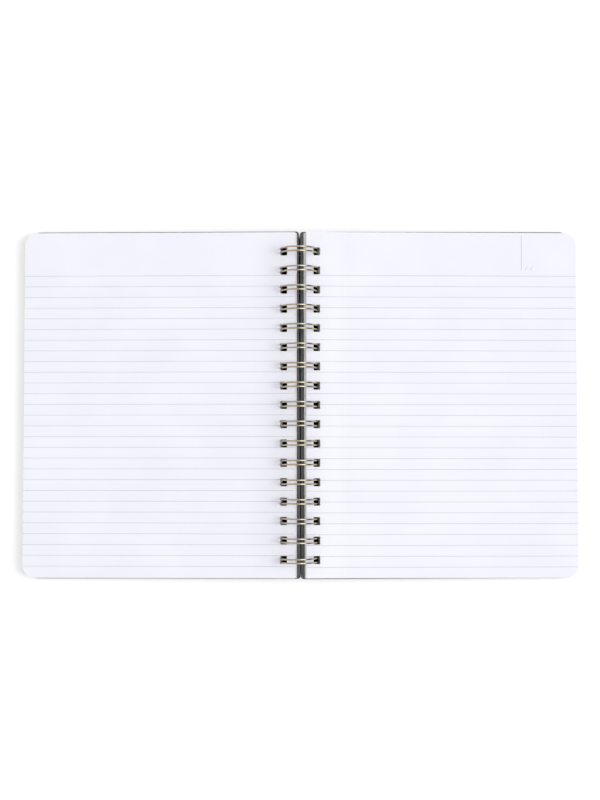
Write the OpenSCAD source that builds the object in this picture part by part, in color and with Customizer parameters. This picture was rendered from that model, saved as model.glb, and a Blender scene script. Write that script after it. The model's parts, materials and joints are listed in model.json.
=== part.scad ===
// An open notebook with a twin-loop wire binding, lying face up on a flat surface.
// X runs across the two pages, Y along the spine and Z up.
// The origin is on the surface, midway between the outer edges of the pages.

/* [Sheets] */
// Width of a sheet
page_w = 178.6; // [120:0.2:215]
// Height of a sheet, along the spine
page_h = 227.4; // [150:0.2:297]
// Radius of the two outer corners of a sheet
page_corner_r = 8; // [1:0.5:20]
// Thickness of the bundle of sheets on the front cover
front_stack_t = 4.6; // [2:0.1:5.5]
// Thickness of the bundle of sheets on the back cover
back_stack_t = 4.6; // [2:0.1:5.5]
// From the middle of a hole to the spine edge of a sheet
page_margin = 6.9; // [5:0.1:7.5]

/* [Covers] */
// How much wider a cover is than a sheet
cover_extra_w = 2; // [1:0.5:6]
// How far a cover stands past the sheets at each end of the spine
cover_overhang = 1; // [0.5:0.1:4]
// Thickness of a cover
cover_t = 1.4; // [0.8:0.1:2]
// Radius of the two outer corners of a cover
cover_corner_r = 8; // [1:0.5:20]
// Radius of the two corners of a cover at the spine
cover_spine_r = 2; // [0.5:0.5:4]
// Gap between the spine edges of the two covers where they come nearest
cover_slit = 0.1; // [0.05:0.05:2]
// Slant of the front cover's spine edge, which is trimmed out of square, in degrees
front_cover_slant = 0.3; // [-0.3:0.05:0.3]
// Turn of the front cover in its own plane, within the play of its holes, in degrees
front_cover_skew = 0; // [-0.2:0.05:0.2]
// Turn of the back cover in its own plane, within the play of its holes, in degrees
back_cover_skew = 0.15; // [-0.2:0.05:0.2]

/* [Holes] */
// Distance from one hole to the next, along the spine
pitch = 12.7; // [11:0.1:15]
// Size of a hole across the spine
hole_w = 4.4; // [4:0.1:5]
// Size of a hole along the spine
hole_l = 5.4; // [5:0.1:6.4]
// Radius of the corners of a hole in a cover
hole_corner_r = 0.6; // [0.2:0.1:0.6]
// Least distance from the middle of an end hole to the end of a sheet
end_margin = 10; // [8:0.5:18]

/* [Binding wire] */
// Thickness of the wire
wire_d = 1.05; // [0.8:0.05:1.2]
// Inside diameter of the closed loops
loop_inner_d = 22.2; // [20.6:0.1:28]
// Distance between the two wires of a loop, centre to centre
pair_gap = 2.65; // [2:0.05:3]
// Radius of the bends at the root of a loop, on the centre line
root_bend_r = 1; // [0.8:0.1:1.5]
// Extra radius of the wire at the root, where bending spreads it
root_swell = 0.01; // [0.005:0.005:0.03]
// Place of the closing seam round the loops, in degrees from straight right
seam_angle = -61; // [-75:1:-60]
// Gap at the seam between the tip of a loop and the wire that it closes on
seam_gap = 0.3; // [0.2:0.05:1]

/* [How it lies] */
// Height of the loops' middle above the top sheets
page_drop = 1.2; // [0.8:0.1:2]
// Air between a bundle of sheets and its cover
lay_gap = 0.1; // [0.05:0.05:0.3]
// Gap from the wire to the outer side of the holes in the front sheets
front_hole_gap = 0.25; // [0.2:0.05:1]
// Gap from the wire to the inner side of the holes in the back sheets
back_hole_gap = 1.45; // [0.2:0.05:1.6]
// Gap from the wire to the nearest side of the holes in the covers
cover_hole_gap = 0.5; // [0.4:0.05:0.7]
// How far the sheets have slid along the spine, towards the reader
sheet_slide = 0.2; // [-0.2:0.05:0.2]

/* [Hidden] */

paper_color = [0.95, 0.95, 0.98];
cover_color = [0.26, 0.32, 0.32];
wire_color = [0.78, 0.71, 0.58];

// Steps round an outline and round the wire in drawings of the part
outline_fn = 96;
corner_fn = 24;
wire_fn = 20;
// Extra length of a cutter past the face that it leaves
past = 1;
// Length of a loop's wire that runs on inside the bend at its root
root_lap = 0.05;
// How far the round of a spine corner would run out past the edges that it joins
corner_lap = 0.02;

wire_r = wire_d / 2;
ring_r = (loop_inner_d + wire_d) / 2;
ring_z = ring_r + wire_r;
tip_r = pair_gap / 2;
cover_w = page_w + cover_extra_w;
cover_h = page_h + 2 * cover_overhang;

hole_count = floor((page_h - 2 * end_margin) / pitch) + 1;
first_hole_y = -(hole_count - 1) * pitch / 2;

// How far out the wire's middle crosses a plane that lies below the loops' middle
function crossing(depth) = sqrt(ring_r * ring_r - depth * depth);

// Place of the hole in a sheet, from where the wire crosses it
front_sheet_shift = wire_r + front_hole_gap - hole_w / 2;
back_sheet_shift = hole_w / 2 - wire_r - back_hole_gap;

// Depth of the upper face of a cover below the loops' middle
function cover_depth(stack_t) = page_drop + stack_t + lay_gap;
// Nearest and furthest point of the wire inside a cover
function wire_near(depth) = sqrt(pow(ring_r - wire_r, 2) - pow(depth + cover_t, 2));
function wire_far(depth) = sqrt(pow(ring_r + wire_r, 2) - pow(depth, 2));

// Tilt at which the outer lower edge of a cover meets the surface
function lie_angle(edge, depth) = asin(ring_z / norm([edge, depth])) - atan2(depth, edge);
// How far that tilt swings the lower spine edge of a cover towards the other cover
function spine_swing(depth) = depth * sin(lie_angle(cover_w, depth));
// Half the difference between the two ends of the slit
slit_taper = cover_h / 2 * abs(tan(front_cover_slant + front_cover_skew) - tan(back_cover_skew));

front_cover_hole = wire_far(cover_depth(front_stack_t)) + cover_hole_gap - hole_w / 2;
back_cover_hole = wire_near(cover_depth(back_stack_t)) - cover_hole_gap + hole_w / 2;
level_slit = cover_slit + slit_taper + spine_swing(cover_depth(front_stack_t) + cover_t)
    + spine_swing(cover_depth(back_stack_t) + cover_t);
cover_margin = (front_cover_hole + back_cover_hole - level_slit) / 2;

// Outer edge of a cover, with what its skew adds at a corner
function cover_edge(hole, skew) = hole - cover_margin + cover_w + cover_h / 2 * sin(abs(skew));

front_edge = cover_edge(front_cover_hole, front_cover_skew);
back_edge = cover_edge(back_cover_hole, back_cover_skew);
front_tilt = lie_angle(front_edge, cover_depth(front_stack_t) + cover_t);
back_tilt = lie_angle(back_edge, cover_depth(back_stack_t) + cover_t);

// Furthest point of a half from the loops' middle, seen from above
function page_reach(shift, tilt) =
    (shift - page_margin + page_w + crossing(page_drop)) * cos(tilt) - page_drop * sin(tilt);
function half_reach(shift, edge, depth, tilt) =
    max(page_reach(shift, tilt), edge * cos(tilt) - depth * sin(tilt));
front_reach = half_reach(front_sheet_shift, front_edge, cover_depth(front_stack_t), front_tilt);
back_reach = half_reach(back_sheet_shift, back_edge, cover_depth(back_stack_t), back_tilt);
coil_x = (front_reach - back_reach) / 2;

// Angles round the loops, counter-clockwise from straight right
bar_angle = atan2(root_bend_r, ring_r);
root_angle = seam_angle - bar_angle;
tip_angle = seam_angle + (wire_d + seam_gap) / ring_r * 180 / PI + atan2(tip_r, ring_r);
loop_sweep = 360 + root_angle - tip_angle + atan2(root_lap, ring_r);

// Lays a half out from the loops' middle: X is outward, Z is up from its own plane
module lay_back(tilt) {
    translate([coil_x, 0, ring_z])
        rotate([0, tilt, 0])
            children();
}

module lay_front(tilt) {
    translate([coil_x, 0, ring_z])
        mirror([1, 0, 0])
            rotate([0, tilt, 0])
                children();
}

module at_each_hole() {
    for (i = [0 : hole_count - 1])
        translate([0, first_hole_y + i * pitch, 0])
            children();
}

// Section between two copies of the loops' arc, so that its sides follow the wire down
module arc_band(from, to) {
    difference() {
        union() {
            translate([from, -ring_r])
                square([to - from, 2 * ring_r]);
            translate([to, 0])
                circle(r = ring_r, $fn = outline_fn);
        }
        translate([from, 0])
            circle(r = ring_r, $fn = outline_fn);
    }
}

// Runs such a section along the spine, between two depths below the loops' middle
module arc_bar(from, to, top, bottom, length) {
    rotate([90, 0, 0])
        linear_extrude(height = length, center = true)
            intersection() {
                arc_band(from, to);
                translate([from, -bottom])
                    square([to - from + ring_r, bottom - top]);
            }
}

// Outline from a square spine edge to two round outer corners
module leaf_outline(width, height, corner_r) {
    translate([0, -height / 2])
        square([width - corner_r, height]);
    translate([0, corner_r - height / 2])
        square([width, height - 2 * corner_r]);
    for (side = [-1, 1])
        translate([width - corner_r, side * (height / 2 - corner_r)])
            circle(r = corner_r, $fn = outline_fn);
}

// A bundle of sheets: each lower sheet lies further in, as the wire carries it
module sheet_stack(stack_t, shift) {
    spine = shift - page_margin;
    bottom = page_drop + stack_t;
    translate([0, -sheet_slide, 0])
        difference() {
            intersection() {
                arc_bar(spine, spine + page_w, page_drop, bottom, page_h);
                translate([spine, 0, -bottom - past])
                    linear_extrude(height = stack_t + 2 * past)
                        leaf_outline(page_w + crossing(page_drop), page_h, page_corner_r);
            }
            at_each_hole()
                arc_bar(shift - hole_w / 2, shift + hole_w / 2, page_drop - past / 2, bottom + past, hole_l);
        }
}

// What is cut off at a spine corner of a cover to leave it round
module spine_corner(slant, side) {
    inset = cover_spine_r - corner_lap;
    end = cover_h / 2 - inset;
    translate([inset + side * end * tan(slant), side * end])
        scale([1, side])
            difference() {
                translate([-cover_spine_r - past, 0])
                    square(cover_spine_r + past);
                circle(r = cover_spine_r, $fn = outline_fn);
            }
}

// Outline of a cover, whose spine edge may be trimmed at a slant about its middle
module cover_outline(slant) {
    lean = cover_h / 2 * abs(tan(slant));
    difference() {
        translate([-lean, 0])
            leaf_outline(cover_w + lean, cover_h, cover_corner_r);
        if (lean > 0)
            rotate(-slant)
                translate([-past - 2 * lean, -cover_h])
                    square([past + 2 * lean, 2 * cover_h]);
        for (side = [-1, 1])
            spine_corner(slant, side);
    }
}

// A hole with round corners
module hole_outline() {
    square([hole_w - 2 * hole_corner_r, hole_l], center = true);
    square([hole_w, hole_l - 2 * hole_corner_r], center = true);
    for (across = [-1, 1], along = [-1, 1])
        translate([across * (hole_w / 2 - hole_corner_r), along * (hole_l / 2 - hole_corner_r)])
            circle(r = hole_corner_r, $fn = corner_fn);
}

// A stiff board with a row of holes, turned a little in its own plane
module cover_board(hole, depth, skew, slant) {
    spine = hole - cover_margin;
    middle = spine + cover_w / 2;
    translate([middle, 0, -depth - cover_t])
        rotate([0, 0, skew])
            translate([-middle, 0, 0])
                linear_extrude(height = cover_t)
                    difference() {
                        translate([spine, 0])
                            cover_outline(slant);
                        at_each_hole()
                            translate([hole, 0])
                                hole_outline();
                    }
}

// A round bend of the wire, from one angle through a sweep
module wire_bend(bend_r, start, sweep, swell = 0) {
    rotate([0, 0, start])
        rotate_extrude(angle = sweep, $fn = outline_fn)
            translate([bend_r, 0])
                circle(r = wire_r + swell, $fn = wire_fn);
}

// Stands on the loops' circle: X is outward, Y along the spine, Z on round the loop
module on_loop(angle) {
    rotate([0, -angle, 0])
        translate([ring_r, 0, 0])
            children();
}

// One loop: two round wires, joined by a hairpin at the tip
module twin_loop() {
    for (side = [-1, 1])
        translate([0, side * tip_r, 0])
            rotate([90, 0, 0])
                wire_bend(ring_r, tip_angle, loop_sweep);
    on_loop(tip_angle)
        rotate([0, 90, 0])
            wire_bend(tip_r, -90, 180);
}

// The wire between two loops: a bend, a straight bar and a bend back
module root_link() {
    bar = pitch - pair_gap - 2 * root_bend_r;
    on_loop(root_angle)
        translate([0, tip_r + root_bend_r, 0]) {
            rotate([0, 90, 0])
                wire_bend(root_bend_r, 180, 90, root_swell);
            translate([0, bar, 0])
                rotate([0, 90, 0])
                    wire_bend(root_bend_r, 90, 90, root_swell);
            translate([0, 0, root_bend_r])
                rotate([-90, 0, 0])
                    cylinder(r = wire_r + root_swell, h = bar, $fn = wire_fn);
        }
}

// The binding: one wire from end to end
module binding_wire() {
    color(wire_color)
        translate([coil_x, 0, ring_z]) {
            at_each_hole()
                twin_loop();
            for (i = [0 : hole_count - 2])
                translate([0, first_hole_y + i * pitch, 0])
                    root_link();
        }
}

module front_cover() {
    color(cover_color)
        lay_front(front_tilt)
            cover_board(front_cover_hole, cover_depth(front_stack_t), -front_cover_skew, front_cover_slant);
}

module front_pages() {
    color(paper_color)
        lay_front(front_tilt)
            sheet_stack(front_stack_t, front_sheet_shift);
}

module back_pages() {
    color(paper_color)
        lay_back(back_tilt)
            sheet_stack(back_stack_t, back_sheet_shift);
}

module back_cover() {
    color(cover_color)
        lay_back(back_tilt)
            cover_board(back_cover_hole, cover_depth(back_stack_t), back_cover_skew, 0);
}

binding_wire();
front_cover();
front_pages();
back_pages();
back_cover();
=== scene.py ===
# The looks of an open notebook with a twin-loop wire binding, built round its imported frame
import json
import math
import random

import bpy
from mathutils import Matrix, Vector
from mathutils.geometry import delaunay_2d_cdt


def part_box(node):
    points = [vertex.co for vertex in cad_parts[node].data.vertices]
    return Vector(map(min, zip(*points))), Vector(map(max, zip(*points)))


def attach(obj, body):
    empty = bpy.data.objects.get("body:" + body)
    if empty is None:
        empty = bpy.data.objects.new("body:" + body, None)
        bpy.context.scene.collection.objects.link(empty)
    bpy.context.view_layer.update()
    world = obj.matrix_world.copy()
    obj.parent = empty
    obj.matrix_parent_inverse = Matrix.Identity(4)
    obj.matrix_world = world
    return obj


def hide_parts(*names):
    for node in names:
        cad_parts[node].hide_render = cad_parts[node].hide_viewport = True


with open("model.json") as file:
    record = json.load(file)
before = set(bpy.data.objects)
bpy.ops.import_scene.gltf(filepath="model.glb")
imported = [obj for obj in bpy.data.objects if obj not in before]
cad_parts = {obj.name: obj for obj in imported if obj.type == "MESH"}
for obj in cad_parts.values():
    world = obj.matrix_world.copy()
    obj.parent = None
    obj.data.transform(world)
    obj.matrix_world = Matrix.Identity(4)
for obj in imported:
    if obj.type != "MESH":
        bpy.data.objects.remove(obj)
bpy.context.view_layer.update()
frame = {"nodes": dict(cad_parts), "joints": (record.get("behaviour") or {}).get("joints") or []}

mm = 0.001
hinge = Vector(frame["joints"][0]["pos_m"])  # the loops' middle
print("frame loaded, loops' middle at", tuple(round(v / mm, 2) for v in hinge), "mm")


# Small helpers

def smooth(t):
    t = min(max(t, 0.0), 1.0)
    return t * t * (3 - 2 * t)


def meshPiece(name, points, faces, materials, faceMaterials=None, smoothShade=False):
    mesh = bpy.data.meshes.new(name)
    mesh.from_pydata(points, [], faces)
    for material in materials:
        mesh.materials.append(material)
    if faceMaterials:
        mesh.polygons.foreach_set("material_index", faceMaterials)
    if smoothShade:
        mesh.polygons.foreach_set("use_smooth", [True] * len(faces))
    mesh.update()
    piece = bpy.data.objects.new(name, mesh)
    bpy.context.scene.collection.objects.link(piece)
    return piece


def roundRect(centreU, centreY, sizeU, sizeY, radius, steps):
    # counter-clockwise points of a rectangle with round corners
    points = []
    for corner, (signU, signY) in enumerate([(1, 1), (-1, 1), (-1, -1), (1, -1)]):
        cu = centreU + signU * (sizeU / 2 - radius)
        cy = centreY + signY * (sizeY / 2 - radius)
        for step in range(steps + 1):
            angle = math.radians(90 * (corner + step / steps))
            points.append((cu + radius * math.cos(angle), cy + radius * math.sin(angle)))
    return points


def insideLoop(u, y, loop):
    hit = False
    u1, y1 = loop[-1]
    for u2, y2 in loop:
        if (y1 > y) != (y2 > y) and u < (u2 - u1) * (y - y1) / (y2 - y1) + u1:
            hit = not hit
        u1, y1 = u2, y2
    return hit


# Materials: node helpers. Lengths in materials are in metres, those of the shapes in mm

# nearly all of a noise lies between these
noiseLow = 0.3
noiseHigh = 0.7


def feed(tree, socket, value):
    # joins a socket to another one, or sets its value
    if isinstance(value, bpy.types.NodeSocket):
        tree.links.new(value, socket)
    else:
        socket.default_value = value


class Nodes:
    # a material's node tree, with short calls to add and join nodes
    def __init__(self, name):
        self.material = bpy.data.materials.new(name)
        self.material.use_nodes = True
        self.tree = self.material.node_tree
        self.shader = self.tree.nodes["Principled BSDF"]

    def add(self, kind, **inputs):
        node = self.tree.nodes.new("ShaderNode" + kind)
        for key, value in inputs.items():
            if hasattr(node, key):
                setattr(node, key, value)
            else:
                node.inputs[key.replace("_", " ")].default_value = value
        return node

    def join(self, source, target):
        self.tree.links.new(source, target)

    def place(self):
        return self.add("TexCoord").outputs["Object"]

    def noise(self, scale, detail, stretch=None):
        node = self.add("TexNoise", Scale=scale, Detail=detail)
        if stretch:
            mapping = self.add("Mapping", Scale=stretch)
            self.join(self.place(), mapping.inputs["Vector"])
            self.join(mapping.outputs["Vector"], node.inputs["Vector"])
        else:
            self.join(self.place(), node.inputs["Vector"])
        return node.outputs["Fac"]

    def ramp(self, source, first, last, start=noiseLow, end=noiseHigh):
        # from the first colour, up to start, to the last one, from end on
        node = self.add("ValToRGB")
        stops = [(start, first), (end, last)]
        for mark, (position, colour) in zip(node.color_ramp.elements, stops):
            mark.position = position
            mark.color = (*colour, 1)
        self.join(source, node.inputs["Fac"])
        return node.outputs["Color"]

    def spread(self, source, low, high, start=noiseLow, end=noiseHigh):
        node = self.add("MapRange")
        node.inputs["From Min"].default_value = start
        node.inputs["From Max"].default_value = end
        node.inputs["To Min"].default_value = low
        node.inputs["To Max"].default_value = high
        self.join(source, node.inputs["Value"])
        return node.outputs["Result"]

    def paintedHollowShade(self, reach, dark, light, samples=6):
        # painted shade, from ambient occlusion: 0 deep in a hole or slit, 1 in the open; colours are
        # multiplied by it
        node = self.add("AmbientOcclusion", Distance=reach)
        node.samples = samples
        return self.spread(node.outputs["AO"], 0.0, 1.0, dark, light)

    def mixed(self, share, first, second, way="MIX"):
        # a Mix node's sockets for colours go by number, because it has others of the same names
        node = self.add("Mix", data_type="RGBA", blend_type=way)
        for number, value in ((0, share), (6, first), (7, second)):
            feed(self.tree, node.inputs[number], value)
        return node.outputs[2]

    def tinted(self, colour, amount):
        return self.mixed(1.0, colour, amount, "MULTIPLY")

    def bump(self, height, distance, strength, under=None):
        node = self.add("Bump", Strength=strength, Distance=distance)
        self.join(height, node.inputs["Height"])
        if under:
            self.join(under, node.inputs["Normal"])
        return node.outputs["Normal"]

    def set(self, **sockets):
        for key, value in sockets.items():
            feed(self.tree, self.shader.inputs[key.replace("_", " ")], value)


paperLook = {
    "tintA": (0.735, 0.735, 0.805),
    "tintB": (0.755, 0.756, 0.820),
    # the cut edges of both bundles are one paper; the back bundle's are painted lighter, painted light
    # standing in for light on its shaded spine face
    "frontEdgeA": (0.73, 0.72, 0.75),
    "frontEdgeB": (0.81, 0.80, 0.83),
    "backEdgePaintedLightA": (0.90, 0.895, 0.91),
    "backEdgePaintedLightB": (0.96, 0.955, 0.97),
    "lineA": (0.45, 0.455, 0.51),
    "lineB": (0.49, 0.495, 0.55),
    "markA": (0.42, 0.42, 0.47),
    "markB": (0.46, 0.46, 0.51),
    "cloudScale": 28.0,
    "cloudLow": 0.35,
    "cloudHigh": 0.65,
    "fibreScale": 2600.0,
    "fibreStretch": (1, 0.45, 1),
    "fibreDepth": 0.00003,
    "fibreStrength": 0.25,
    "roughLow": 0.78,
    "roughHigh": 0.9,
    "shine": 0.3,
    # painted shade for the cut edges, in holes and between sheets
    "hollowReach": 0.006,
    "hollowDark": 0.04,
    "hollowLight": 0.19,
}


def paperMaterial(name, tintA, tintB, shadedInHollows=False):
    nodes = Nodes(name)
    cloud = nodes.noise(paperLook["cloudScale"], detail=4)
    fibre = nodes.noise(paperLook["fibreScale"], detail=2, stretch=paperLook["fibreStretch"])
    colour = nodes.ramp(cloud, tintA, tintB, paperLook["cloudLow"], paperLook["cloudHigh"])
    if shadedInHollows:
        # painted shade: the cut edges go dark in the holes and in the gaps between sheets
        paintedLitShare = nodes.paintedHollowShade(paperLook["hollowReach"], paperLook["hollowDark"], paperLook["hollowLight"])
        colour = nodes.tinted(colour, paintedLitShare)
    nodes.set(
        Base_Color=colour,
        Roughness=nodes.spread(fibre, paperLook["roughLow"], paperLook["roughHigh"]),
        Specular_IOR_Level=paperLook["shine"],
        Normal=nodes.bump(fibre, paperLook["fibreDepth"], paperLook["fibreStrength"]),
    )
    return nodes.material


coverLook = {
    "dark": (0.023, 0.034, 0.032),
    "light": (0.029, 0.041, 0.038),
    "cloudScale": 60.0,
    "grainScale": 1500.0,
    "grainDepth": 0.00004,
    "grainStrength": 0.25,
    "fineScale": 2550.0,
    "fineDepth": 0.00002,
    "fineStrength": 0.2,
    "roughLow": 0.15,
    "roughHigh": 0.22,
    "shine": 0.75,
    "liningDark": (0.082, 0.079, 0.086),  # the front cover is greyer on the inside, and painted lighter than the board, as painted light on the lit side of the gutter
    "liningLight": (0.094, 0.091, 0.098),
    "liningEnd": 0.1125,  # how far the lining reaches from the middle, along the spine
    "liningFade": 0.0003,
    "edgeDark": (0.040, 0.044, 0.045),
    "edgeLight": (0.058, 0.062, 0.063),
    # painted shade in holes and slits, by ambient occlusion
    "hollowReach": 0.012,
    "hollowDark": 0.22,
    "hollowLight": 0.48,
    "edgeHollowDark": 0.6,
    "edgeHollowLight": 0.85,
}


def coverMaterial(name, dark, light, hollowDark, hollowLight, lined=False):
    # matt laminated board, slate green and greyer where it is cut, with a fine pressed grain
    nodes = Nodes(name)
    cloud = nodes.noise(coverLook["cloudScale"], detail=5)
    grain = nodes.add("TexVoronoi", Scale=coverLook["grainScale"])
    nodes.join(nodes.place(), grain.inputs["Vector"])
    fine = nodes.noise(coverLook["fineScale"], detail=2)
    pressed = nodes.bump(grain.outputs["Distance"], coverLook["grainDepth"], coverLook["grainStrength"])
    colour = nodes.ramp(cloud, dark, light)
    if lined:
        # the board's own colour is turned in over its ends, so the greyer, painted-lighter lining stops
        # short of them
        split = nodes.add("SeparateXYZ")
        nodes.join(nodes.place(), split.inputs["Vector"])
        along = nodes.add("Math", operation="ABSOLUTE")
        nodes.join(split.outputs["Y"], along.inputs[0])
        end = coverLook["liningEnd"]
        turnedIn = nodes.spread(along.outputs[0], 0.0, 1.0, end, end + coverLook["liningFade"])
        outside = nodes.ramp(cloud, coverLook["dark"], coverLook["light"])
        colour = nodes.mixed(turnedIn, colour, outside)
    # painted shade: the board's colour and its sheen are taken down in holes, in the slit and under the
    # pages' overhang
    paintedLitShare = nodes.paintedHollowShade(coverLook["hollowReach"], hollowDark, hollowLight)
    nodes.set(
        Base_Color=nodes.tinted(colour, paintedLitShare),
        Roughness=nodes.spread(fine, coverLook["roughLow"], coverLook["roughHigh"]),
        Specular_IOR_Level=nodes.spread(paintedLitShare, 0.0, coverLook["shine"], 0.0, 1.0),
        Normal=nodes.bump(fine, coverLook["fineDepth"], coverLook["fineStrength"], under=pressed),
    )
    return nodes.material


wireLook = {
    "goldA": (0.52, 0.445, 0.32),
    "goldB": (0.61, 0.525, 0.385),
    "grazing": (0.5, 0.44, 0.36, 1),
    "coat": 0.4,
    "coatRough": 0.12,
    "streakScale": 900.0,
    "streakStretch": (0.3, 2.0, 0.3),
    "streakDepth": 0.00001,
    "streakStrength": 0.3,
    "roughLow": 0.15,
    "roughHigh": 0.23,
    "hollowReach": 0.010,
    "hollowDark": 0.12,
    "hollowLight": 0.3,
}


def wireMaterial():
    # champagne-gold lacquered steel, drawn, so its streaks are fine
    nodes = Nodes("champagneWire")
    streak = nodes.noise(wireLook["streakScale"], detail=3, stretch=wireLook["streakStretch"])
    colour = nodes.ramp(streak, wireLook["goldA"], wireLook["goldB"])
    # painted shade: the wire goes dark where it runs down into the holes and under the slit
    paintedLitShare = nodes.paintedHollowShade(wireLook["hollowReach"], wireLook["hollowDark"], wireLook["hollowLight"])
    nodes.set(
        Base_Color=nodes.tinted(colour, paintedLitShare),
        Specular_Tint=wireLook["grazing"],
        Coat_Weight=wireLook["coat"],
        Coat_Roughness=wireLook["coatRough"],
        Metallic=1.0,
        Roughness=nodes.spread(streak, wireLook["roughLow"], wireLook["roughHigh"]),
        Normal=nodes.bump(streak, wireLook["streakDepth"], wireLook["streakStrength"]),
    )
    return nodes.material


paper = paperMaterial("paper", paperLook["tintA"], paperLook["tintB"])
frontEdge = paperMaterial("frontCutEdge", paperLook["frontEdgeA"], paperLook["frontEdgeB"], shadedInHollows=True)
# the back cut edges are painted lighter, painted light on their shaded face
backEdgePaintedLight = paperMaterial("backCutEdgePaintedLight", paperLook["backEdgePaintedLightA"], paperLook["backEdgePaintedLightB"], shadedInHollows=True)
lineInk = paperMaterial("ruledLine", paperLook["lineA"], paperLook["lineB"])
markInk = paperMaterial("headerMark", paperLook["markA"], paperLook["markB"])
board = coverMaterial(
    "slateBoard", coverLook["dark"], coverLook["light"],
    coverLook["hollowDark"], coverLook["hollowLight"],
)
# the front cover's inside: greyer, and painted lighter as painted light on the lit side of the gutter
liningPaintedLighter = coverMaterial(
    "greyLiningPaintedLighter", coverLook["liningDark"], coverLook["liningLight"],
    coverLook["hollowDark"], coverLook["hollowLight"], lined=True,
)
# the cut edges' painted shade begins sooner, so the slit between the covers goes black
boardEdge = coverMaterial(
    "cutBoard", coverLook["edgeDark"], coverLook["edgeLight"],
    coverLook["edgeHollowDark"], coverLook["edgeHollowLight"],
)
gold = wireMaterial()
print("materials made")


# Where a half of the notebook lies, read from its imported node

class Half:
    # side is -1 for the front (left) half and 1 for the back (right) half
    def __init__(self, side, node):
        self.side = side
        mesh = frame["nodes"][node].data
        upper = max(mesh.polygons, key=lambda face: face.area * round(face.normal.z))
        self.tilt = math.atan2(side * upper.normal.x, upper.normal.z)
        local = [self.inside(v.co) for v in mesh.vertices]
        _, along, up = zip(*local)
        self.middleY = (max(along) + min(along)) / 2
        self.height = max(along) - min(along)
        self.top, self.bottom = max(up), min(up)
        topBand = 0.01  # mm
        atTop = [u for u, y, w in local if w > self.top - topBand]
        self.spine, self.outer = min(atTop), max(atTop)

    def inside(self, point):
        # a point of the frame as (outward, along the spine, up from the half's plane), in mm
        x = self.side * (point.x - hinge.x) / mm
        z = (point.z - hinge.z) / mm
        c, s = math.cos(self.tilt), math.sin(self.tilt)
        return x * c - z * s, point.y / mm, x * s + z * c

    def out(self, u, y, w):
        # the way back, from there to a point of the frame
        c, s = math.cos(self.tilt), math.sin(self.tilt)
        x = u * c + w * s
        z = -u * s + w * c
        return (hinge.x + self.side * x * mm, y * mm, hinge.z + z * mm)


wireLow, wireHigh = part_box("binding_wire")
loops = {
    "wireRadius": 0.525,
    "pairGap": 2.65,
    "pitch": 12.67,
    "bendRadius": 1.0,
    "rootAngle": -65.92,  # degrees; where the legs of a loop leave the bars
    "tipAngle": -47.84,  # degrees; where its hairpin starts
    "slide": -0.48,  # the whole wire lies this far towards the reader
    "seed": 23,
    "gapStray": (-0.063, 0.18),  # how far the two wires of a loop stray from the gap
    "flareStray": (-0.108, 0.108),  # how much wider the gap is on the right than in the middle
    "leanStray": (-0.192, 0.072),  # how far a loop leans along the spine
    # the loop nearest the reader, number 0, was bent a little in use
    "bent": {0: {"gap": 2.4, "flare": 0.1, "lean": 0.2, "shift": -0.4}},
    "arcStep": 4.0,  # degrees
    "hairpinSteps": 12,
    "bendSteps": 6,
    "sides": 12,
}
loops["radius"] = (wireHigh.z - wireLow.z) / mm / 2 - loops["wireRadius"]
loops["count"] = round(((wireHigh.y - wireLow.y) / mm - loops["pairGap"]) / loops["pitch"]) + 1
loops["firstY"] = -(loops["count"] - 1) * loops["pitch"] / 2
holeRows = [loops["firstY"] + i * loops["pitch"] for i in range(loops["count"])]


# Sheets of paper

sheets = {
    "cornerRadius": 8.0,
    "pitch": 0.1,  # from one sheet to the next
    "thickness": 0.09,
    "holeLength": 5.4,
    "holeRadius": 0.6,
    "holeCornerSteps": 3,
    "lineFromTop": 28.7,
    "lineCount": 28,
    "lineWidth": 0.3,
    "strayOut": 0.06,  # how far single sheets stray, outward and along the spine
    "strayAlong": 0.12,
    "strayTurn": 0.03,  # degrees
    "risePower": 1.5,  # above 1, the lower sheets rise less than their share
    "cornerSteps": 10,
    "curveStations": [1.2, 3.0, 11.0, 13.5, 16.0, 19.0, 22.5, 26.5],  # lines along which it can curve
    "nearest": 0.00001,  # points closer than this are one
}
# rise is how far the loops lift the top sheet at the spine, and slide how far it lies outward;
# twist is how many degrees the lowest sheet lies askew, and holeSlide moves the holes along the spine
frontSheets = {
    "name": "front_sheets", "node": "front_pages", "headerOn": "bottom", "seed": 7,
    "rise": 0.3, "riseReach": 25.0, "twist": 0.0, "linePitch": 7.08, "edge": frontEdge,
    "margin": 7.1, "holeWidth": 4.6, "holeSlide": -0.45, "slide": 0.0,
}
backSheets = {
    "name": "back_sheets", "node": "back_pages", "headerOn": "top", "seed": 11,
    "rise": 1.0, "riseReach": 20.0, "twist": 0.18, "linePitch": 7.1, "edge": backEdgePaintedLight,
    "margin": 6.9, "holeWidth": 4.4, "holeSlide": -0.5, "slide": -0.2,
}
header = {
    "ruleFromOuter": 36.1,
    "ruleStart": 1.5,
    "ruleEnd": 24.6,
    "ruleWidth": 0.36,
    "strokeFromOuter": [33.6, 30.2],
    "strokeFoot": 25.0,
    "strokeHeight": 3.0,
    "strokeLean": 1.3,
    "strokeWidth": 0.28,
}
# what a bundle's faces are made of, in the order of its materials
paperSlot, lineSlot, markSlot, edgeSlot = range(4)


def sheetOutline():
    width, height, radius = sheets["width"], sheets["height"], sheets["cornerRadius"]
    points = [(0, height / 2), (0, -height / 2)]
    for start, signY in [(-90, -1), (0, 1)]:
        for step in range(sheets["cornerSteps"] + 1):
            angle = math.radians(start + 90 * step / sheets["cornerSteps"])
            cu = width - radius
            cy = signY * (height / 2 - radius)
            points.append((cu + radius * math.cos(angle), cy + radius * math.sin(angle)))
    return points


def rectangle(lowU, lowY, highU, highY):
    return [(lowU, lowY), (highU, lowY), (highU, highY), (lowU, highY)]


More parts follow.
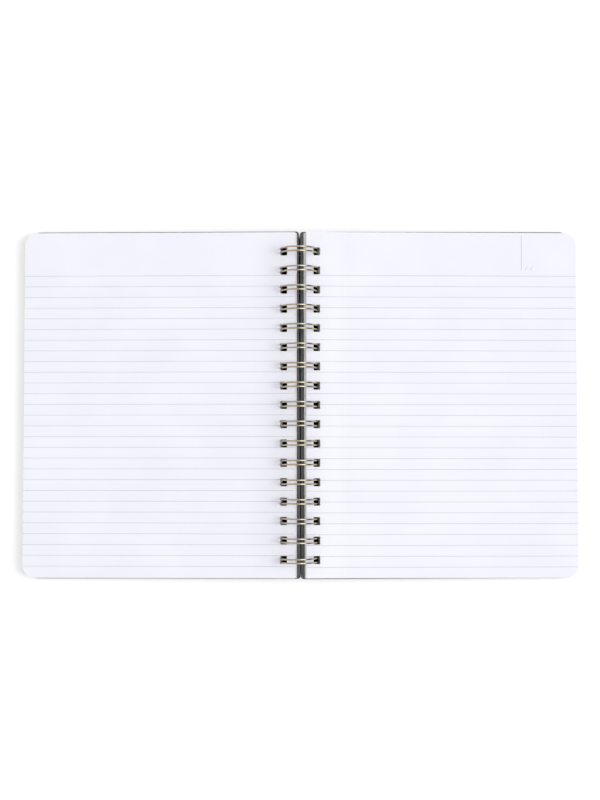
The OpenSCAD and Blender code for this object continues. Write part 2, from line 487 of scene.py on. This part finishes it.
def printedShapes(linePitch, withHeader):
    # the ruled lines, and on the front of a sheet a header rule and two plain slanted strokes
    shapes = []
    top = sheets["height"] / 2
    half = sheets["lineWidth"] / 2
    for i in range(sheets["lineCount"]):
        y = top - sheets["lineFromTop"] - i * linePitch
        shapes.append((lineSlot, rectangle(0, y - half, sheets["width"], y + half)))
    if withHeader:
        u = sheets["width"] - header["ruleFromOuter"]
        half = header["ruleWidth"] / 2
        low, high = top - header["ruleEnd"], top - header["ruleStart"]
        shapes.append((lineSlot, rectangle(u - half, low, u + half, high)))
        for fromOuter in header["strokeFromOuter"]:
            u = sheets["width"] - fromOuter
            y = top - header["strokeFoot"]
            lean, tall, wide = header["strokeLean"], header["strokeHeight"], header["strokeWidth"]
            stroke = [(u, y), (u + wide, y), (u + lean + wide, y + tall), (u + lean, y + tall)]
            shapes.append((markSlot, stroke))
    return shapes


def cutSheet(own, printed):
    # a flat punched sheet: its points, its triangles, what is printed on each, and its rim
    outline = sheetOutline()
    holes = [
        roundRect(
            own["margin"], y + own["holeSlide"], own["holeWidth"], sheets["holeLength"],
            sheets["holeRadius"], sheets["holeCornerSteps"],
        )
        for y in holeRows
    ]
    points, edges = [], []

    def addLoop(loop, closed=True):
        first = len(points)
        points.extend(Vector(p) for p in loop)
        last = len(points)
        edges.extend((i, i + 1) for i in range(first, last - 1))
        if closed:
            edges.append((last - 1, first))

    addLoop(outline)
    for loop in holes:
        addLoop(loop)
    for kind, loop in printed:
        addLoop(loop)
    half = sheets["height"] / 2
    for u in sheets["curveStations"]:
        addLoop([(u, -half), (u, half)], closed=False)
    everyTriangle = 0
    found, _, triangles, _, _, _ = delaunay_2d_cdt(points, edges, [], everyTriangle, sheets["nearest"])
    kept, inks = [], []
    for triangle in triangles:
        u = sum(found[i].x for i in triangle) / 3
        y = sum(found[i].y for i in triangle) / 3
        row = min(range(len(holeRows)), key=lambda i: abs(holeRows[i] - y))
        if not insideLoop(u, y, outline) or insideLoop(u, y, holes[row]):
            continue
        kept.append(tuple(triangle))
        inks.append(next((kind for kind, loop in printed if insideLoop(u, y, loop)), paperSlot))
    sides = [side for a, b, c in kept for side in ((a, b), (b, c), (c, a))]
    known = set(sides)
    used = sorted({i for triangle in kept for i in triangle})
    index = {old: new for new, old in enumerate(used)}
    return {
        "points": [(found[i].x, found[i].y) for i in used],
        "triangles": [tuple(index[i] for i in triangle) for triangle in kept],
        "inks": inks,
        "rim": [(index[a], index[b]) for a, b in sides if (b, a) not in known],
    }


def bundle(half, own):
    # all the sheets of one half, each a closed thin slab that follows the loops' arc
    rng = random.Random(own["seed"])
    sheets["height"] = half.height
    sheets["width"] = half.outer - half.spine
    strayTurn = sheets["strayTurn"]
    edgeShift = half.spine - math.sqrt(loops["radius"] ** 2 - half.top ** 2)
    count = round((half.top - half.bottom) / sheets["pitch"])
    plain = cutSheet(own, [])
    ruled = cutSheet(own, printedShapes(own["linePitch"], False))
    ruledWithHeader = cutSheet(own, printedShapes(own["linePitch"], True))
    points, faces, kinds = [], [], []

    def addFace(corners, kind):
        # the front half is the mirror image, so its faces turn the other way round
        faces.append(corners if half.side > 0 else corners[::-1])
        kinds.append(kind)

    for i in range(count):
        isBottom, isTop = i == 0, i == count - 1
        level = i / (count - 1)
        low = half.bottom + i * sheets["pitch"]
        depth = low + sheets["thickness"] / 2
        carried = math.sqrt(loops["radius"] ** 2 - depth ** 2) + edgeShift + own["slide"] * level
        strayU, strayY, turn = 0, 0, 0
        if not isTop:
            strayU = rng.uniform(-1, 1) * sheets["strayOut"]
            strayY = rng.uniform(-1, 1) * sheets["strayAlong"]
            turn = math.radians(rng.uniform(-strayTurn, strayTurn) + own["twist"] * (1 - level))
        cut = plain
        if isTop or isBottom:
            hasHeader = own["headerOn"] == ("top" if isTop else "bottom")
            cut = ruledWithHeader if hasHeader else ruled
        first = len(points)
        size = len(cut["points"])
        lift = own["rise"] * level ** sheets["risePower"]
        for face in (sheets["thickness"], 0.0):
            for u, y in cut["points"]:
                raised = lift * (1 - smooth((u - own["margin"]) / own["riseReach"]))
                outward = carried + u + strayU - turn * y
                along = half.middleY + y + strayY + turn * (u - sheets["width"] / 2)
                points.append(half.out(outward, along, low + raised + face))
        for (a, b, c), ink in zip(cut["triangles"], cut["inks"]):
            addFace((first + a, first + b, first + c), ink if isTop else edgeSlot)
            lower = (first + size + c, first + size + b, first + size + a)
            addFace(lower, ink if isBottom else edgeSlot)
        for a, b in cut["rim"]:
            addFace((first + a, first + size + a, first + size + b, first + b), edgeSlot)
    piece = meshPiece(own["name"], points, faces, [paper, lineInk, markInk, own["edge"]], kinds)
    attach(piece, own["node"])
    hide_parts(own["node"])
    print(own["name"], "has", count, "sheets and", len(faces), "faces")


bundle(Half(-1, "front_pages"), frontSheets)
bundle(Half(1, "back_pages"), backSheets)


# The binding wire

def wirePath():
    # one line from end to end: each loop down its first leg, round the hairpin and back
    rng = random.Random(loops["seed"])
    radius, bend = loops["radius"], loops["bendRadius"]
    start, end = loops["tipAngle"], 360 + loops["rootAngle"]
    legs = []
    for i, y in enumerate(holeRows):
        legs.append({
            "y": y + loops["slide"],
            "gap": loops["pairGap"] + rng.uniform(*loops["gapStray"]),
            "flare": rng.uniform(*loops["flareStray"]),
            "lean": rng.uniform(*loops["leanStray"]),
            "shift": 0.0,
        })
        legs[i].update(loops["bent"].get(i, {}))

    def legPoint(leg, side, angle):
        a = math.radians(angle)
        gap = leg["gap"] + leg["flare"] * math.cos(a)
        y = leg["y"] + leg["shift"] + side * gap / 2 + leg["lean"] * math.cos(a)
        return Vector((radius * math.cos(a), y, radius * math.sin(a)))

    steps = round((end - start) / loops["arcStep"])
    angles = [start + (end - start) * i / steps for i in range(steps + 1)]
    path = []
    for i, leg in enumerate(legs):
        path += [legPoint(leg, -1, a) for a in reversed(angles)]
        a = math.radians(start)
        low, high = legPoint(leg, -1, start), legPoint(leg, 1, start)
        middle, reach = (low + high) / 2, (high - low).length / 2
        back = Vector((math.sin(a), 0, -math.cos(a)))  # on round the loop, past its tip
        for step in range(1, loops["hairpinSteps"]):
            t = math.radians(180 * step / loops["hairpinSteps"])
            path.append(middle + back * reach * math.sin(t) + (low - middle) * math.cos(t))
        path += [legPoint(leg, 1, a) for a in angles]
        if i < len(legs) - 1:
            a = math.radians(end)
            onward = Vector((-math.sin(a), 0, math.cos(a)))
            foot, nextFoot = legPoint(leg, 1, end), legPoint(legs[i + 1], -1, end)
            along = Vector((0, 1, 0))
            for step in range(1, loops["bendSteps"]):
                t = math.radians(90 * step / loops["bendSteps"])
                path.append(foot + along * bend * (1 - math.cos(t)) + onward * bend * math.sin(t))
            path.append(foot + along * bend + onward * bend)
            path.append(nextFoot - along * bend + onward * bend)
            for step in range(1, loops["bendSteps"]):
                t = math.radians(90 * step / loops["bendSteps"])
                path.append(nextFoot - along * bend * (1 - math.sin(t)) + onward * bend * math.cos(t))
    return [hinge + p * mm for p in path]


def sweepTube(name, path, radius, sides, material):
    # a round tube along the path, closed at both ends
    points, faces = [], []
    count = len(path)
    ahead = (path[1] - path[0]).normalized()
    across = ahead.orthogonal().normalized()
    for i, centre in enumerate(path):
        before = path[max(i - 1, 0)]
        after = path[min(i + 1, count - 1)]
        ahead = (after - before).normalized()
        across = (across - ahead * across.dot(ahead)).normalized()
        other = ahead.cross(across)
        for k in range(sides):
            t = 2 * math.pi * k / sides
            points.append(centre + (across * math.cos(t) + other * math.sin(t)) * radius)
    for i in range(count - 1):
        for k in range(sides):
            n = (k + 1) % sides
            faces.append((i * sides + k, i * sides + n, (i + 1) * sides + n, (i + 1) * sides + k))
    faces.append(tuple(reversed(range(sides))))
    faces.append(tuple((count - 1) * sides + k for k in range(sides)))
    return meshPiece(name, points, faces, [material], smoothShade=True)


wire = sweepTube("twin_loop_wire", wirePath(), loops["wireRadius"] * mm, loops["sides"], gold)
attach(wire, "binding_wire")
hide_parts("binding_wire")
print("wire swept,", len(wire.data.polygons), "faces")


# The covers stay as the frame has them, with their cut edges broken a little

coverEdge = {
    "bevel": 0.2,
    "segments": 2,
    "sharper": 40,  # degrees; edges that turn more than this are broken
    "flat": 0.5,  # degrees; faces that turn less than this are one
    "weld": 0.002,
}


def finishCover(node, inside):
    # board outside, its cut edge, and what the pages lie on
    cover = frame["nodes"][node]
    cover.data.materials.clear()
    for material in (board, boardEdge, inside):
        cover.data.materials.append(material)
    # a face that looks down gets the first of them, a side the second, one that looks up the third
    kinds = [round(face.normal.z) + 1 for face in cover.data.polygons]
    cover.data.polygons.foreach_set("material_index", kinds)
    weld = cover.modifiers.new("weld", "WELD")
    weld.merge_threshold = coverEdge["weld"] * mm
    join = cover.modifiers.new("joinFlat", "DECIMATE")
    join.decimate_type = "DISSOLVE"
    join.angle_limit = math.radians(coverEdge["flat"])
    join.delimit = {"MATERIAL"}
    bevel = cover.modifiers.new("brokenEdge", "BEVEL")
    bevel.use_clamp_overlap = False
    bevel.width = coverEdge["bevel"] * mm
    bevel.segments = coverEdge["segments"]
    bevel.limit_method = "ANGLE"
    bevel.angle_limit = math.radians(coverEdge["sharper"])
    bevel.material = 1  # the cut edge's
    bevel.harden_normals = True


finishCover("front_cover", liningPaintedLighter)
finishCover("back_cover", board)
print("covers finished")


# The stage: white floor, soft key from the right, weaker fill from the left, and an even room

stage = {
    "floorSize": 8.0,  # metres
    "keyLight": 0.47,
    "keyElevation": 38.0,
    "keySoftness": 36.0,
    "fillLight": 0.2,
    "fillElevation": 55.0,
    "fillSoftness": 50.0,
    "skyBase": 0.71,
    "skyBox": 2.75,  # the large soft box overhead, from the zenith towards the right
    "skyDark": 0.0,  # the unlit part of the room low at the right
    # both reach from the first angle to the second, with edges this soft, in degrees from the zenith
    "boxAcross": (7, 43, 6),
    "boxAlong": (-40, 40, 6),
    "darkAcross": (54, 94, 5),
    "darkAlong": (-64, 64, 8),
    "skyFill": 0.51,  # the sky's share for what is matt, next to what is seen in the wire
    "floorWhite": 0.48,
    "floorGlow": 0.475,
    # painted shade on the floor, by ambient occlusion
    "hollowReach": 0.018,
    "hollowSamples": 32,
    "hollowDark": 0.3,
    "hollowLight": 0.42,
}


def makeFloor():
    half = stage["floorSize"] / 2
    corners = [(-half, -half, 0), (half, -half, 0), (half, half, 0), (-half, half, 0)]
    nodes = Nodes("whiteFloor")
    # painted shade: the floor's white and its glow fade to black under the notebook, in the slit and in
    # the holes
    paintedLitShare = nodes.paintedHollowShade(
        stage["hollowReach"], stage["hollowDark"], stage["hollowLight"], stage["hollowSamples"],
    )
    nodes.set(
        Base_Color=nodes.spread(paintedLitShare, 0.0, stage["floorWhite"], 0.0, 1.0),
        Roughness=1.0,
        Specular_IOR_Level=0.0,
        Emission_Color=(1, 1, 1, 1),
        Emission_Strength=nodes.spread(paintedLitShare, 0.0, stage["floorGlow"], 0.0, 1.0),
    )
    floor = meshPiece("floor", corners, [(0, 1, 2, 3)], [nodes.material])


def makeLamp(name, side):
    # a wide soft lamp from the right (side 1) or the left (side -1)
    elevation = math.radians(stage[name + "Elevation"])
    light = bpy.data.lights.new(name, "SUN")
    light.angle = math.radians(stage[name + "Softness"])
    # a white level surface then shows the level that stage gives
    light.energy = stage[name + "Light"] * math.pi / math.sin(elevation)
    lamp = bpy.data.objects.new(name, light)
    lamp.visible_glossy = False  # in the wire the soft box overhead is seen instead
    towards = Vector((side * math.cos(elevation), 0, math.sin(elevation)))
    lamp.rotation_mode = "QUATERNION"
    lamp.rotation_quaternion = towards.to_track_quat("Z", "Y")
    bpy.context.scene.collection.objects.link(lamp)


def skyLevel(tree):
    # how bright the room is in each direction; angles from the zenith, in degrees

    def calc(operation, *values):
        node = tree.nodes.new("ShaderNodeMath")
        node.operation = operation
        for socket, value in zip(node.inputs, values):
            feed(tree, socket, value)
        return node.outputs[0]

    def band(angle, start, end, edge):
        # 1 between start and end, with soft edges
        rising = calc("DIVIDE", calc("SUBTRACT", angle, start - edge), 2 * edge)
        falling = calc("DIVIDE", calc("SUBTRACT", end + edge, angle), 2 * edge)
        return calc("MAXIMUM", calc("MINIMUM", calc("MINIMUM", rising, falling), 1.0), 0.0)

    split = tree.nodes.new("ShaderNodeSeparateXYZ")
    tree.links.new(tree.nodes.new("ShaderNodeTexCoord").outputs["Generated"], split.inputs[0])
    x, y, z = split.outputs
    across = calc("DEGREES", calc("ARCTAN2", x, z))
    along = calc("DEGREES", calc("ARCSINE", y))
    box = calc("MULTIPLY", band(across, *stage["boxAcross"]), band(along, *stage["boxAlong"]))
    dark = calc("MULTIPLY", band(across, *stage["darkAcross"]), band(along, *stage["darkAlong"]))
    level = calc("ADD", stage["skyBase"], calc("MULTIPLY", box, stage["skyBox"] - stage["skyBase"]))
    return calc("ADD", level, calc("MULTIPLY", dark, stage["skyDark"] - stage["skyBase"]))


def makeRoom():
    world = bpy.data.worlds.new("room")
    bpy.context.scene.world = world
    world.use_nodes = True
    tree = world.node_tree
    room = tree.nodes["Background"]
    room.inputs["Color"].default_value = (1, 1, 1, 1)
    path = tree.nodes.new("ShaderNodeLightPath")
    share = tree.nodes.new("ShaderNodeMapRange")
    share.inputs["To Min"].default_value = stage["skyFill"]
    tree.links.new(path.outputs["Is Glossy Ray"], share.inputs["Value"])
    strength = tree.nodes.new("ShaderNodeMath")
    strength.operation = "MULTIPLY"
    tree.links.new(skyLevel(tree), strength.inputs[0])
    tree.links.new(share.outputs["Result"], strength.inputs[1])
    tree.links.new(strength.outputs[0], room.inputs["Strength"])
    seen = tree.nodes.new("ShaderNodeBackground")
    seen.inputs["Color"].default_value = (1, 1, 1, 1)
    mix = tree.nodes.new("ShaderNodeMixShader")
    tree.links.new(path.outputs["Is Camera Ray"], mix.inputs["Fac"])
    tree.links.new(room.outputs["Background"], mix.inputs[1])
    tree.links.new(seen.outputs["Background"], mix.inputs[2])
    tree.links.new(mix.outputs["Shader"], tree.nodes["World Output"].inputs["Surface"])


camera = {
    "lens": 62.96,
    "sensor": 36.0,
    "clip": (0.05, 20.0),  # metres
    "distance": 921.0,
    "elevation": 87.4,
    "aim": (-0.33, 2.65, 8.5),  # what the middle of the picture looks at
}


def makeCamera():
    data = bpy.data.cameras.new("camera")
    data.lens = camera["lens"]
    data.sensor_width = camera["sensor"]
    data.clip_start, data.clip_end = camera["clip"]
    cam = bpy.data.objects.new("camera", data)
    elevation = math.radians(camera["elevation"])
    back = Vector((0, -math.cos(elevation), math.sin(elevation)))
    cam.location = (Vector(camera["aim"]) + back * camera["distance"]) * mm
    cam.rotation_mode = "QUATERNION"
    cam.rotation_quaternion = (-back).to_track_quat("-Z", "Y")
    bpy.context.scene.collection.objects.link(cam)
    bpy.context.scene.camera = cam


makeFloor()
makeLamp("key", 1)
makeLamp("fill", -1)
makeRoom()
makeCamera()
bpy.context.scene.view_settings.view_transform = "Standard"
print("stage, light and camera set")
